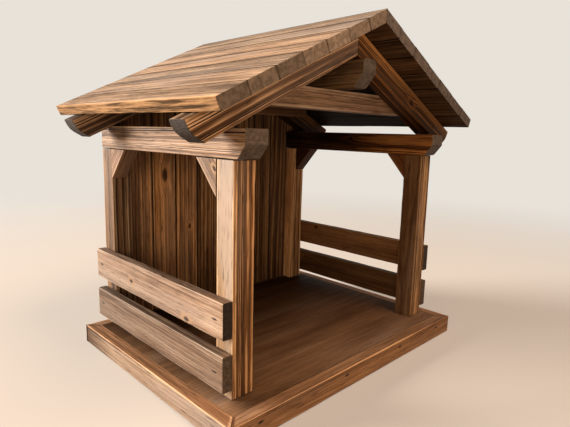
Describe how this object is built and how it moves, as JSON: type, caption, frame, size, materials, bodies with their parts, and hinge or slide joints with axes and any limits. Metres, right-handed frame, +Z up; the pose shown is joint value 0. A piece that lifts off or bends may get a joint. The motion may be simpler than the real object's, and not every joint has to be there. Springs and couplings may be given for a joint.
{
  "type": "wooden nativity stable",
  "caption": "Open wooden stable with railed sides, a planked back and a boarded gable roof, made to hold nativity figures.",
  "frame": {"origin": "on the ground, under the middle of the whole outline, roof included", "axes": "+Z up, +Y to the planked back, so the open front faces -Y and the ridge runs along Y; +X to the right seen from the front"},
  "size_m": [0.3362, 0.2496, 0.3069],
  "materials": {
    "frame_wood": "brown stain on brushed softwood, worn pale on the edges",
    "rail_wood": "brown stain on brushed softwood",
    "roof_wood": "brown stain, rubbed back on the upper faces",
    "wall_wood": "dark brown stain",
    "border_wood": "brown stain, worn pale on the edges",
    "floor_wood": "dark brown stain, smooth",
    "dowel_wood": "bare hardwood",
    "zinc_screw": "zinc plated",
    "dark_nail": "dull dark steel"
  },
  "bodies": {
    "root": {"back_plank_1": "wall_wood", "back_plank_2": "wall_wood", "back_plank_3": "wall_wood", "back_plank_4": "wall_wood", "back_plank_5": "wall_wood", "back_plank_6": "wall_wood", "back_plank_7": "wall_wood", "back_plank_8": "wall_wood", "base_border_front": "border_wood", "base_border_left": "border_wood", "base_border_rear": "border_wood", "base_border_right": "border_wood", "border_nails": "dark_nail", "brace_brads": "dark_nail", "brace_front_left": "frame_wood", "brace_front_right": "frame_wood", "brace_rear_left": "frame_wood", "brace_rear_right": "frame_wood", "floor_panel": "floor_wood", "gable_filler_left": "wall_wood", "gable_filler_right": "wall_wood", "long_screws": "zinc_screw", "plank_brads": "dark_nail", "plank_dowels": "dowel_wood", "post_front_left": "frame_wood", "post_front_right": "frame_wood", "post_rear_left": "frame_wood", "post_rear_right": "frame_wood", "rafter_front_left": "frame_wood", "rafter_front_right": "frame_wood", "rafter_nails": "dark_nail", "rafter_rear_left": "frame_wood", "rafter_rear_right": "frame_wood", "rail_lower_left": "rail_wood", "rail_lower_right": "rail_wood", "rail_nails": "dark_nail", "rail_upper_left": "rail_wood", "rail_upper_right": "rail_wood", "ridge_beam": "frame_wood", "roof_board_left_1": "roof_wood", "roof_board_left_2": "roof_wood", "roof_board_left_3": "roof_wood", "roof_board_left_4": "roof_wood", "roof_board_left_5": "roof_wood", "roof_board_left_6": "roof_wood", "roof_board_left_7": "roof_wood", "roof_board_right_1": "roof_wood", "roof_board_right_2": "roof_wood", "roof_board_right_3": "roof_wood", "roof_board_right_4": "roof_wood", "roof_board_right_5": "roof_wood", "roof_board_right_6": "roof_wood", "roof_board_right_7": "roof_wood", "roof_brads": "dark_nail", "short_screws": "zinc_screw", "tie_beam_front": "frame_wood", "tie_beam_rear": "frame_wood", "tie_nails": "dark_nail", "wall_plate_left": "frame_wood", "wall_plate_right": "frame_wood"}
  },
  "joints": []
}
